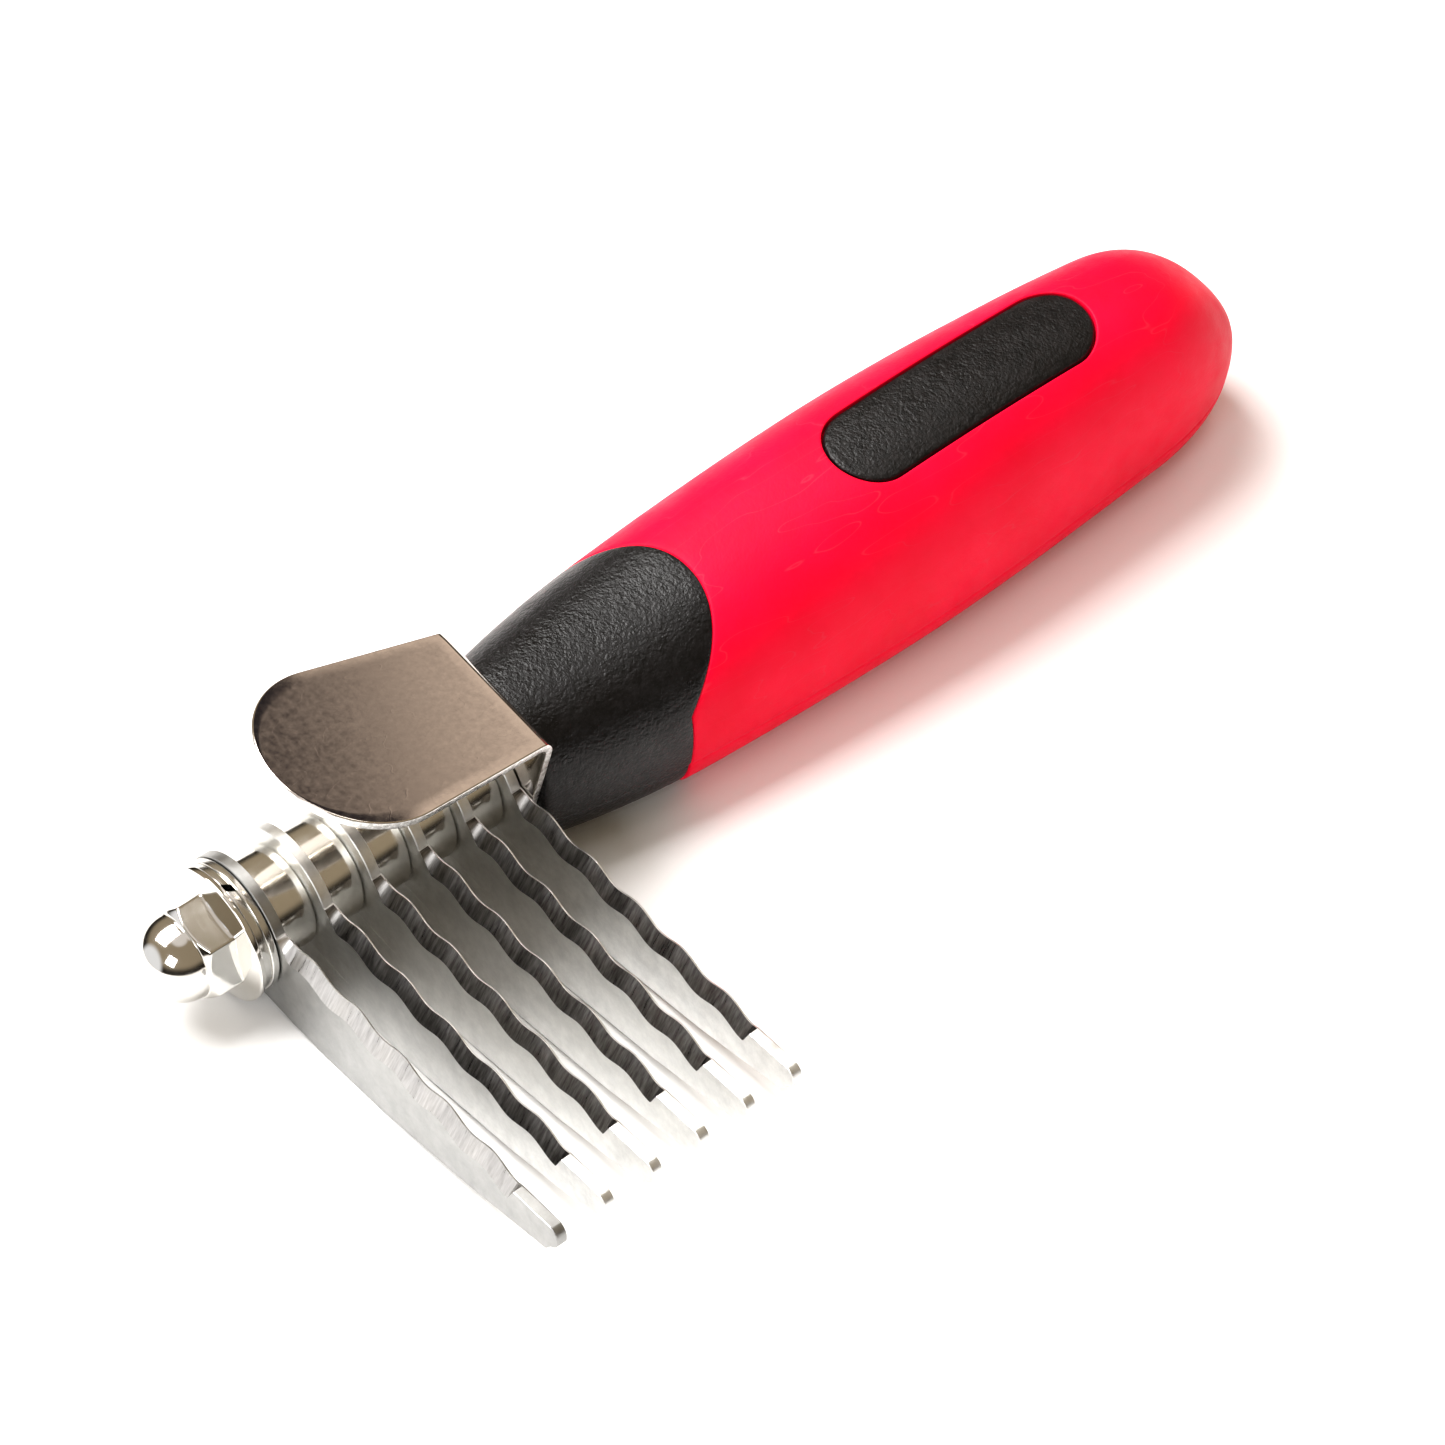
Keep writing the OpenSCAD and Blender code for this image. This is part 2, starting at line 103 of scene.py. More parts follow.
class Look:
    """A Principled material with helpers for its colour, roughness and bump nodes."""

    def __init__(self, name, **values):
        self.material = bpy.data.materials.new(name)
        self.material.use_nodes = True
        self.tree = self.material.node_tree
        self.shader = self.tree.nodes["Principled BSDF"]
        self.bumped = None
        for socket, value in values.items():
            self.shader.inputs[socket.replace("_", " ")].default_value = value
        self.where = self.tree.nodes.new("ShaderNodeTexCoord").outputs["Object"]

    def node(self, kind, **links):
        made = self.tree.nodes.new(kind)
        for socket, value in links.items():
            put = made.inputs[socket.replace("_", " ")]
            if hasattr(value, "is_output"):
                self.tree.links.new(value, put)
            else:
                put.default_value = value
        return made

    def coords(self, scale=(1, 1, 1), turn=(0, 0, 0)):
        mapped = self.node("ShaderNodeMapping", Vector=self.where, Scale=scale, Rotation=turn)
        return mapped.outputs["Vector"]

    def noise(self, scale, detail=3, rough=0.5, stretch=(1, 1, 1), turn=(0, 0, 0), warp=0.0):
        made = self.node("ShaderNodeTexNoise", Vector=self.coords(stretch, turn), Scale=scale,
                         Detail=detail, Roughness=rough, Distortion=warp)
        return made.outputs["Fac"]

    def ramp(self, fac, low, high, at=(0.3, 0.7)):
        made = self.node("ShaderNodeValToRGB", Fac=fac)
        elements = made.color_ramp.elements
        elements[0].position, elements[1].position = at
        elements[0].color = (*low, 1) if len(low) == 3 else low
        elements[1].color = (*high, 1) if len(high) == 3 else high
        return made.outputs["Color"]

    def span(self, fac, low, high, at=(0.3, 0.7)):
        made = self.node("ShaderNodeMapRange", Value=fac)
        made.inputs["From Min"].default_value, made.inputs["From Max"].default_value = at
        made.inputs["To Min"].default_value = low
        made.inputs["To Max"].default_value = high
        return made.outputs["Result"]

    def math(self, what, a, b):
        made = self.tree.nodes.new("ShaderNodeMath")
        made.operation = what
        for put, value in zip(made.inputs, (a, b)):
            if hasattr(value, "is_output"):
                self.tree.links.new(value, put)
            else:
                put.default_value = value
        return made.outputs[0]

    def mix(self, fac, a, b):
        made = self.tree.nodes.new("ShaderNodeMix")
        made.data_type = "RGBA"
        for put, value in ((made.inputs[0], fac), (made.inputs[6], a), (made.inputs[7], b)):
            if hasattr(value, "is_output"):
                self.tree.links.new(value, put)
            elif put.type == "RGBA":
                put.default_value = (*value, 1)
            else:
                put.default_value = value
        return made.outputs[2]

    def colour(self, value):
        self.tree.links.new(value, self.shader.inputs["Base Color"])

    def roughness(self, value):
        self.tree.links.new(value, self.shader.inputs["Roughness"])

    def bump(self, height, distance, strength=1.0):
        made = self.node("ShaderNodeBump", Height=height, Distance=distance * MM,
                         Strength=strength)
        if self.bumped is not None:
            self.tree.links.new(self.bumped, made.inputs["Normal"])
        self.bumped = made.outputs["Normal"]
        self.tree.links.new(self.bumped, self.shader.inputs["Normal"])


def scratches(look, scale, stretch, turn, thin=0.012):
    """Thin lines where a stretched noise crosses its middle."""
    field = look.noise(scale, 1, 0.4, stretch, turn)
    off = look.math("ABSOLUTE", look.math("SUBTRACT", field, 0.5), 0.0)
    return look.span(off, 1.0, 0.0, (0.0, thin))


def rubber_look():
    look = Look("red_rubber", Specular_IOR_Level=0.12, Sheen_Weight=0.02, Sheen_Roughness=0.4,
                Sheen_Tint=(1.0, 0.45, 0.55, 1), Subsurface_Weight=0.06,
                Subsurface_Radius=(0.004, 0.001, 0.001), Subsurface_Scale=0.3)
    broad = look.noise(70, 4, 0.6)
    grain = look.noise(2600, 3, 0.6)
    base = look.ramp(broad, (0.86, 0.002, 0.034), (0.94, 0.004, 0.048))
    scuff = scratches(look, 60, (1, 5, 5), (0.3, 0.2, 0.6), 0.006)
    base = look.mix(look.math("MULTIPLY", scuff, 0.16), base, (0.78, 0.12, 0.15))
    look.colour(base)
    look.roughness(look.span(look.noise(240, 4, 0.65), 0.42, 0.56))
    look.bump(grain, 0.035)
    look.bump(look.noise(420, 3, 0.5), 0.03)
    return look.material


def black_look(name, low, high, rough, grain_mm, tint):
    look = Look(name, Specular_IOR_Level=0.36, Sheen_Weight=tint, Sheen_Roughness=0.5,
                Sheen_Tint=(0.62, 0.55, 0.72, 1))
    look.colour(look.ramp(look.noise(900, 4, 0.7), low, high, (0.35, 0.75)))
    look.roughness(look.span(look.noise(300, 3, 0.6), rough - 0.07, rough + 0.09))
    look.bump(look.noise(2300, 2, 0.6), grain_mm)
    look.bump(look.noise(1100, 2, 0.5), grain_mm * 0.8)
    return look.material


def sheet_look():
    look = Look("sheet_steel", Metallic=1.0)
    brush = look.noise(1500, 3, 0.65, (0.25, 1, 1))
    cloud = look.noise(60, 2, 0.4)
    look.colour(look.mix(look.span(brush, 0.2, 0.8),
                         look.ramp(cloud, (0.72, 0.68, 0.64), (0.77, 0.73, 0.69)),
                         (0.66, 0.62, 0.59)))
    look.roughness(look.span(look.noise(1100, 3, 0.6), 0.1, 0.17))
    look.bump(brush, 0.003)
    look.bump(scratches(look, 130, (0.5, 2.5, 2.5), (0.4, 0.1, 0.5), 0.004), 0.001)
    return look.material


def cut_look():
    look = Look("cut_steel", Metallic=1.0)
    grain = look.noise(1800, 3, 0.7, (1, 0.25, 1))
    look.colour(look.ramp(grain, (0.55, 0.54, 0.53), (0.92, 0.91, 0.9), (0.4, 0.62)))
    look.roughness(look.span(look.noise(900, 2, 0.5), 0.24, 0.45))
    look.bump(grain, 0.04)
    return look.material


def nickel_look(name, colour, rough, lathe):
    look = Look(name, Metallic=1.0)
    look.colour(look.ramp(look.noise(90, 4, 0.65), [c * 0.88 for c in colour], colour))
    look.roughness(look.span(look.noise(210, 4, 0.7), rough * 0.75, rough * 1.5))
    look.bump(look.noise(lathe, 2, 0.5, (1, 0.03, 0.03)), 0.004)
    look.bump(look.noise(700, 2, 0.5), 0.002)
    return look.material


def blade_look(name, shade):
    look = Look(name, Metallic=1.0)
    mottle = look.noise(330, 5, 0.72)
    broad = look.noise(38, 3, 0.6)
    dull, bright, even = [[shade * c for c in colour] for colour in (
        (0.74, 0.745, 0.74), (1.0, 1.0, 0.985), (0.86, 0.86, 0.835))]
    base = look.ramp(mottle, dull, bright)
    base = look.mix(look.span(broad, 0, 0.5), base, even)
    look.colour(base)
    look.roughness(look.span(look.noise(520, 4, 0.7), 0.3, 0.46))
    look.bump(look.noise(1400, 3, 0.6), 0.01)
    look.bump(look.noise(500, 3, 0.6, (1, 0.08, 1)), 0.006)
    return look.material


def ground_look(name, low, high):
    look = Look(name, Metallic=1.0)
    lines = look.noise(2400, 3, 0.7, (0.12, 1, 0.12))
    look.colour(look.ramp(lines, low, high, (0.34, 0.7)))
    look.roughness(look.span(lines, 0.26, 0.4))
    look.bump(lines, 0.008)
    look.bump(look.noise(1900, 2, 0.6), 0.006)
    return look.material


def rod_look():
    look = Look("rod_steel", Metallic=1.0)
    look.colour(look.ramp(look.noise(260, 4, 0.6), (0.42, 0.41, 0.4), (0.6, 0.59, 0.57)))
    look.roughness(look.span(look.noise(600, 3, 0.6), 0.22, 0.4))
    look.bump(look.noise(1200, 2, 0.5), 0.005)
    return look.material


def brass_look():
    look = Look("brass", Metallic=1.0)
    look.colour(look.ramp(look.noise(200, 4, 0.6), (0.62, 0.42, 0.16), (0.8, 0.6, 0.28)))
    look.roughness(look.span(look.noise(500, 3, 0.6), 0.25, 0.42))
    look.bump(look.noise(900, 2, 0.5), 0.008)
    return look.material


def floor_look():
    look = Look("floor_white", Specular_IOR_Level=0.15)
    look.colour(look.ramp(look.noise(6, 3, 0.5), (0.86, 0.86, 0.865), (0.88, 0.88, 0.88)))
    look.roughness(look.span(look.noise(40, 3, 0.5), 0.6, 0.75))
    look.bump(look.noise(900, 2, 0.5), 0.01)
    return look.material


RUBBER = rubber_look()
BLACK = black_look("black_plastic", (0.001, 0.001, 0.001), (0.011, 0.010, 0.011), 0.34, 0.13, 0.03)
INLAY = black_look("inlay_plastic", (0.001, 0.001, 0.001), (0.012, 0.010, 0.010), 0.36, 0.13,
                   0.03)
SHEET = sheet_look()
CUT = cut_look()
NUT = nickel_look("nut_nickel", (0.76, 0.745, 0.71), 0.08, 900)
WASHER = nickel_look("washer_nickel", (0.74, 0.73, 0.70), 0.16, 900)
SPACER = nickel_look("spacer_nickel", (0.80, 0.78, 0.73), 0.13, 2600)
BLADE = blade_look("blade_steel", 0.88)
# painted shade: the first blade's faces get a darker copy of the same blade steel
FIRST_BLADE_PAINTED_SHADE = blade_look("blade_steel_painted_shade", 0.43)
# ground bevels: the dark copy of the ground steel on blades 2 to 6 is painted shade, and the
# bright copy on the first blade is a painted reflection
GROUND_PAINTED_DARK = ground_look("ground_steel_painted_dark", (0.10, 0.095, 0.09), (0.26, 0.25, 0.24))
FIRST_GROUND_PAINTED_REFLECTION = ground_look("ground_steel_painted_reflection", (0.42, 0.41, 0.40), (0.6, 0.59, 0.58))
ROD = rod_look()
BRASS = brass_look()
FLOOR = floor_look()


# ---------- mesh tools ----------

class Shell:
    """Collects points in the rod frame and faces, then becomes one piece."""

    def __init__(self):
        self.points = []
        self.faces = []
        self.marks = []

    def add(self, points):
        start = len(self.points)
        self.points.extend(np.asarray(points, float).reshape(-1, 3).tolist())
        return start

    def face(self, corners, mark=0):
        self.faces.append(tuple(corners))
        self.marks.append(mark)

    def grid(self, points, round_u=False, round_v=False, mark=None, skip=None):
        """points has the shape (u, v, 3); mark(i, j) and skip(i, j) speak of one cell."""
        p = np.asarray(points, float)
        nu, nv = p.shape[:2]
        start = self.add(p)
        for i in range(nu if round_u else nu - 1):
            for j in range(nv if round_v else nv - 1):
                if skip is not None and skip(i, j):
                    continue
                i2, j2 = (i + 1) % nu, (j + 1) % nv
                self.face((start + i * nv + j, start + i2 * nv + j,
                           start + i2 * nv + j2, start + i * nv + j2),
                          mark(i, j) if mark is not None else 0)
        return start

    def flat(self, loops, mark=0):
        """Fills an outline, with the holes that follow it."""
        start = self.add(np.concatenate(loops))
        for tri in tessellate_polygon([[tuple(q) for q in loop] for loop in loops]):
            self.face([start + k for k in tri], mark)

    def piece(self, name, looks, body, nodes, sharp=30, weld=0.002):
        mesh = bpy.data.meshes.new(name)
        mesh.from_pydata(placed(self.points).tolist(), [], self.faces)
        for look in looks:
            mesh.materials.append(look)
        mesh.polygons.foreach_set("material_index", self.marks)
        work = bmesh.new()
        work.from_mesh(mesh)
        bmesh.ops.remove_doubles(work, verts=work.verts, dist=weld * MM)
        bmesh.ops.dissolve_degenerate(work, edges=work.edges, dist=weld * MM * 0.5)
        bmesh.ops.recalc_face_normals(work, faces=work.faces)
        work.to_mesh(mesh)
        work.free()
        mesh.polygons.foreach_set("use_smooth", [True] * len(mesh.polygons))
        mesh.set_sharp_from_angle(angle=math.radians(sharp))
        made = bpy.data.objects.new(name, mesh)
        bpy.context.collection.objects.link(made)
        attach(made, body)
        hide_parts(*nodes)
        return made


def rounded(corners, radius, steps=4):
    """A closed outline with every corner rounded."""
    c = np.asarray(corners, float)
    out = []
    for i, p in enumerate(c):
        before, after = c[i - 1] - p, c[(i + 1) % len(c)] - p
        lb, la = np.linalg.norm(before), np.linalg.norm(after)
        r = min(radius, lb * 0.45, la * 0.45)
        start, end = p + before / lb * r, p + after / la * r
        for t in np.linspace(0, 1, steps + 1):
            out.append((1 - t) ** 2 * start + 2 * t * (1 - t) * p + t ** 2 * end)
    return np.array(out)


def around(profile, segments=144, start=0.0, sweep=2 * math.pi, closed=True):
    """Turns (along, radius) points about the rod."""
    count = segments if closed else segments + 1
    turns = start + sweep * np.arange(count) / segments
    x = np.broadcast_to(profile[:, 0], (count, len(profile)))
    y = np.cos(turns)[:, None] * profile[:, 1]
    z = np.sin(turns)[:, None] * profile[:, 1]
    return np.stack([x, y, z], 2)


# ---------- nut, washers, spacers, rod ----------

def make_nut():
    """A lathe of rings, out of the blind hole, over the flange, hexagon and dome."""
    turns = np.linspace(0, 2 * math.pi, 288, endpoint=False)
    corner, rim = 70, 90
    gauge = sum(np.abs(np.cos(turns - NUT_CORNER - math.radians(30 + 60 * k))) ** corner
                for k in range(3)) ** (1 / corner)
    hexagon = NUT_AF / 2 / gauge
    rings = []

    def ring(x, r):
        rings.append((np.broadcast_to(np.asarray(x, float), turns.shape),
                      np.broadcast_to(np.asarray(r, float), turns.shape)))

    blind = FLANGE_X - NUT_BORE_LEN
    ring(blind, 0.0)
    for x, r in ((blind, FIT_BORE - 0.4), (blind + 0.4, FIT_BORE), (FLANGE_X - 0.5, FIT_BORE),
                 (FLANGE_X, FIT_BORE + 0.5), (FLANGE_X, FLANGE_R - 0.25)):
        ring(x, r)
    for t in np.radians([22, 45, 68, 90]):
        ring(FLANGE_X - 0.25 * (1 - math.cos(t)), FLANGE_R - 0.25 * (1 - math.sin(t)))
    low = HEX_LEN + FLANGE_CONE + 0.22
    for t in np.radians([0, 22, 45, 68]):
        ring(low - 0.2 * math.sin(t), FLANGE_R - 0.2 * (1 - math.cos(t)))
    slope = FLANGE_CONE / (FLANGE_R - 0.25 - NUT_AF / 2 - 0.4)
    root = np.maximum(hexagon, NUT_AF / 2 + 0.4)
    ring(HEX_LEN + (FLANGE_R - 0.3 - NUT_AF / 2 - 0.4) * slope, FLANGE_R - 0.3)
    for grow in (0.35, 0.12, 0.03):
        ring(HEX_LEN + (root + grow - NUT_AF / 2 - 0.4) * slope, root + grow)
    for lift in (0.03, 0.12):
        ring(HEX_LEN + (root - NUT_AF / 2 - 0.4) * slope - lift,
             hexagon + (root - hexagon) * max(0, 1 - lift / 0.12) ** 2)
    for x in np.concatenate([np.linspace(HEX_LEN - 0.3, 1.3, 8), np.linspace(1.2, 0.05, 22)]):
        chamfer = NUT_AF / 2 - 0.1 + 1.33 * x / 1.2
        ring(x, (hexagon ** -rim + chamfer ** -rim) ** (-1 / rim))
    ring(0.0, NUT_AF / 2 - 0.13)
    ring(0.0, DOME_R + 0.08)
    ring(-0.02, DOME_R + 0.02)
    for t in np.radians(np.linspace(1.5, 89.9, 46)):
        ring(-DOME_R * math.sin(t), DOME_R * math.cos(t))
    ring(-DOME_R, 0.0)
    p = np.stack([np.stack([x, r * np.sin(turns), -r * np.cos(turns)], 1) for x, r in rings])
    shell = Shell()
    shell.grid(p, round_v=True)
    shell.piece("cap_nut_body", [NUT], "nut", ["cap_nut"], 32)


def make_washers():
    shell = Shell()
    x0, x1, x2 = WASHER_X, WASHER_X + WASHER_T, WASHER_X + 2 * WASHER_T
    profile = rounded([[x1, RING_BORE], [x1, FLAT_WASHER_R], [x2, FLAT_WASHER_R],
                       [x2, RING_BORE]], 0.22)
    shell.grid(around(profile), round_u=True, round_v=True)
    shell.piece("flat_washer_ring", [WASHER], "washers", ["flat_washer"])
    shell = Shell()
    profile = rounded([[x0, RING_BORE], [x0, LOCK_WASHER_R], [x1, LOCK_WASHER_R],
                       [x1, RING_BORE]], 0.12)
    segments = 140
    half_cut = math.asin(LOCK_HALF_CUT / LOCK_MID_R)
    p = around(profile, segments, math.pi / 2 + half_cut, 2 * math.pi - 2 * half_cut, False)
    lean = (profile[:, 0] - WASHER_X - WASHER_T / 2) * math.tan(LOCK_LEAN) / LOCK_MID_R
    c, s = np.cos(lean), np.sin(lean)
    p = np.stack([p[..., 0], p[..., 1] * c - p[..., 2] * s, p[..., 1] * s + p[..., 2] * c], 2)
    start = shell.grid(p, round_v=True)
    count = len(profile)
    shell.face([start + k for k in range(count)])
    shell.face([start + segments * count + k for k in reversed(range(count))])
    shell.piece("lock_washer_ring", [WASHER], "washers", ["lock_washer"])


def make_spacer(index):
    x0 = BLADE_X + index * BLADE_PITCH + BLADE_T
    x1 = x0 + BLADE_PITCH - BLADE_T
    profile = rounded([[x0, RING_BORE], [x0, SPACER_R - 0.3], [x0 + 0.3, SPACER_R],
                       [x1 - 0.3, SPACER_R], [x1, SPACER_R - 0.3], [x1, RING_BORE]], 0.12, 3)
    shell = Shell()
    shell.grid(around(profile), round_u=True, round_v=True)
    shell.piece(f"spacer_{index + 1}_sleeve", [SPACER], "blade_stack",
                [f"spacer_{index + 1}"], 35)


def make_rod():
    segments = 72
    turns = np.linspace(0, 2 * math.pi, segments, endpoint=False)
    x = np.concatenate([np.arange(ROD_X0 + 0.5, THREAD_END, THREAD_PITCH / 10),
                        [THREAD_END + 0.5, 40.0, 92.4]])
    phase = (x[:, None] / THREAD_PITCH + turns / (2 * math.pi)) % 1.0
    tooth = np.clip(np.abs(phase - 0.5) * 2.3 - 0.12, 0, 1)
    fade = np.clip((THREAD_END - x) / 1.2, 0, 1)[:, None]
    r = ROD_R - THREAD_DEPTH * (1 - tooth) * fade
    lead = np.clip((x - ROD_X0) / 0.9, 0, 1)[:, None] * 0.8 + ROD_R - 0.8
    r = np.minimum(r, lead)
    p = np.stack([np.broadcast_to(x[:, None], r.shape), r * np.cos(turns), r * np.sin(turns)], 2)
    ends = [np.stack([np.full(segments, e), q * np.cos(turns), q * np.sin(turns)], 1)
            for e, q in ((ROD_X0, 0.0), (ROD_X0, 3.1), (ROD_X1, 3.4), (ROD_X1, 0.0))]
    p = np.concatenate([[ends[0], ends[1]], p, [ends[2], ends[3]]])
    shell = Shell()
    shell.grid(p, round_v=True)
    shell.piece("tie_rod_thread", [ROD], "handle", ["tie_rod"], 40)


# ---------- blades ----------

def tooth_lines():
    """The blade's outline and the top of its ground bevel, as (y, z)."""
    y0 = math.sqrt(EYE_R ** 2 - EDGE_ROOT ** 2)
    y = np.linspace(y0, BEVEL_END, 230)
    fade = np.clip(np.minimum((y - y0) / 4, (BEVEL_END - y) / 2 + 0.6), 0, 1)
    edge = (EDGE_ROOT + (EDGE_TIP - EDGE_ROOT) * y / TOOTH_REACH
            + WAVE_AMP * fade * np.cos(2 * math.pi * (y - WAVE_START) / WAVE_LEN))
    depth = BEVEL_W * np.clip(np.minimum((y - y0) / 2.5, (BEVEL_END - y) / 0.7), 0, 1)
    mid_y, mid_z = TOOTH_REACH - TIP_R, EDGE_TIP + WAVE_AMP - TIP_R
    a = np.radians(np.linspace(80, -60, 22))
    tip = np.stack([-mid_y - TIP_R * np.cos(a), mid_z + TIP_R * np.sin(a)], 1)
    drop = BACK_ROOT + BACK_TIP
    back = np.array([[-mid_y - 0.2, BACK_TIP],
                     [-TOOTH_REACH * 0.74, BACK_TIP - drop * 0.42],
                     [-TOOTH_REACH * 0.47, BACK_TIP - drop * 0.8],
                     [-TOOTH_REACH * 0.3, 0.4 - BACK_ROOT],
                     [-TOOTH_REACH * 0.2, -BACK_ROOT]])
    t = np.linspace(0, 4, 61)
    fit = np.stack([np.polyval(np.polyfit(np.arange(5), back[:, k], 4), t) for k in (0, 1)], 1)
    fit[:, 1] = np.maximum(fit[:, 1], np.interp(fit[:, 0], back[:, 0], back[:, 1]))
    a0 = -90 - math.degrees(math.acos((BACK_ROOT + 0.2) / EYE_R))
    a1 = 180 - math.degrees(math.asin(EDGE_ROOT / EYE_R))
    a = np.radians(a0 + (a1 - a0) * np.arange(120) / 120)
    ring = np.stack([EYE_R * np.cos(a), EYE_R * np.sin(a)], 1)
    outline = np.concatenate([np.stack([-y, edge], 1), tip, fit, ring])
    return outline, depth


def make_blade(index):
    """Outlines stacked through the blade's thickness, from its ground side to its back."""
    outline, depth = tooth_lines()
    count, ground = len(outline), len(depth)
    along = np.roll(outline, -1, 0) - np.roll(outline, 1, 0)
    inward = np.stack([-along[:, 1], along[:, 0]], 1) / np.linalg.norm(along, axis=1)[:, None]
    soft, rear_soft, blunt = 0.1, 0.08, 0.03
    front = outline + inward * soft
    second = outline.copy()
    sunk = np.maximum(depth, soft)
    front[:ground] = outline[:ground] - np.stack([0 * sunk, sunk], 1)
    second[:ground] = outline[:ground] - np.stack([0 * sunk, sunk * 0.92], 1)
    last = outline + inward * np.where(np.arange(count) < ground, blunt, soft)[:, None]
    levels = [(0.0, front), (soft, second), (BLADE_T - EDGE_LAND, outline),
              (BLADE_T - rear_soft, outline), (BLADE_T, last)]
    x0 = BLADE_X + index * BLADE_PITCH
    p = np.stack([np.column_stack([np.full(count, x0 + x), line]) for x, line in levels])
    shell = Shell()
    shell.grid(p, round_v=True, mark=lambda i, j: 1 if j < ground - 1 and i < 2 else 0)
    holes = around(np.array([[x0, RING_BORE], [x0 + BLADE_T, RING_BORE]]), 96)
    holes = [holes[:, 0], holes[:, 1]]
    shell.flat([p[0], holes[0]])
    shell.flat([p[-1], holes[1]])
    shell.grid(np.stack(holes), round_v=True)
    # the first blade's faces take the darker copy of the steel, which is painted shade
    # the first blade's ground bevel takes the bright painted-reflection copy, the other blades
    # take the dark painted-shade copy
    looks = [FIRST_BLADE_PAINTED_SHADE, FIRST_GROUND_PAINTED_REFLECTION] if index == 0 else [BLADE, GROUND_PAINTED_DARK]
    shell.piece(f"blade_{index + 1}_steel", looks, "blade_stack",
                [f"blade_{index + 1}"], 24)


# ---------- thumb rest ----------

def sheet_point(u, v, depth):
    """A place on the bent sheet: along it, across it and through it."""
    sweep = math.pi / 2 - PLATE_RISE
    bend_len = BEND_R * sweep
    turn = np.clip((u - BEND_Z) / BEND_R, 0, sweep)
    beyond = np.maximum(u - BEND_Z - bend_len, 0)
    r = BEND_R + depth
    x = BEND_X + r * np.cos(turn) - beyond * math.cos(PLATE_RISE)
    z = np.minimum(u, BEND_Z) + r * np.sin(turn) + beyond * math.sin(PLATE_RISE)
    return np.stack([x, v + 0 * x, z], -1)


def sheet_rows(inset):
    """Half widths along the sheet, as (along, across): round tab, bend, flared plate."""
    flare = math.atan((PLATE_W1 - PLATE_W0) / (PLATE_LEN - PLATE_W1))
    plate_u = BEND_Z + BEND_R * (math.pi / 2 - PLATE_RISE)
    r = TAB_R - inset
    a = np.radians(np.linspace(-90, 0, 24))
    rows = [np.stack([r * np.sin(a), r * np.cos(a)], 1)]
    t = np.linspace(0, 1, 10)[1:]
    rows.append(np.stack([BEND_Z * t, TAB_R + (PLATE_W0 - TAB_R) * t - inset], 1))
    t = np.linspace(0, 1, 18)[1:]
    rows.append(np.stack([BEND_Z + (plate_u - BEND_Z) * t, 0 * t + PLATE_W0 - inset], 1))
    r = PLATE_W1 - inset
    mid = plate_u + PLATE_LEN - PLATE_W1
    a = np.linspace(-flare, math.pi / 2, 48)
    first = np.array([mid - r * math.sin(flare), r * math.cos(flare)])
    t = np.linspace(0, 1, 16)[1:-1, None]
    rows.append(np.array([plate_u, PLATE_W0 - inset]) * (1 - t) + first * t)
    rows.append(np.stack([mid + r * np.sin(a), r * np.cos(a)], 1))
    return np.concatenate(rows)


def make_thumb_rest():
    """The sheet as one closed loop swept along it; the bore is cut out of it."""
    soft = 0.22
    layers = [(soft * (1 - math.sin(t)), soft * (1 - math.cos(t)))
              for t in np.radians([0, 30, 60, 90])]
    layers += [(d, SHEET_T - h) for d, h in reversed(layers)]
    across = np.linspace(-1, 1, 15)
    inner = sheet_rows(soft)
    loop = [sheet_point(inner[:, 0], inner[:, 1] * k, 0.0) for k in across]
    for inset, depth in layers[1:-1]:
        rows = sheet_rows(inset)
        loop.append(sheet_point(rows[:, 0], rows[:, 1], depth))
    loop += [sheet_point(inner[:, 0], inner[:, 1] * k, SHEET_T) for k in across[::-1]]
    for inset, depth in layers[-2:0:-1]:
        rows = sheet_rows(inset)
        loop.append(sheet_point(rows[:, 0], -rows[:, 1], depth))
    p = np.stack(loop, 1)
    face, side = len(across), len(layers) - 2

    def mark(i, j):
        first = face + 1 <= j < face + side - 2
        second = 2 * face + side + 1 <= j < 2 * face + 2 * side - 2
        return 1 if first or second else 0

    shell = Shell()
    shell.grid(p, round_v=True, mark=mark)
    made = shell.piece("thumb_rest_sheet", [SHEET, CUT], "handle",
                       ["thumb_rest"], 32)
    drill = Shell()
    segments = 96
    wall = around(np.array([[x, FIT_BORE] for x in (TAB_X - 2, TAB_X + SHEET_T + 2)]), segments)
    start = drill.grid(wall.transpose(1, 0, 2), round_v=True)
    drill.face([start + k for k in range(segments)])
    drill.face([start + segments + k for k in reversed(range(segments))])
    mesh = bpy.data.meshes.new("drill")
    mesh.from_pydata(placed(drill.points).tolist(), [], drill.faces)
    tool = bpy.data.objects.new("drill", mesh)
    bpy.context.collection.objects.link(tool)
    cut = made.modifiers.new("bore", "BOOLEAN")
    cut.object, cut.operation, cut.solver = tool, "DIFFERENCE", "EXACT"
    bpy.context.view_layer.update()
    seen = made.evaluated_get(bpy.context.evaluated_depsgraph_get())
    made.data = bpy.data.meshes.new_from_object(seen)
    made.modifiers.clear()
    bpy.data.objects.remove(tool)


# ---------- handle ----------

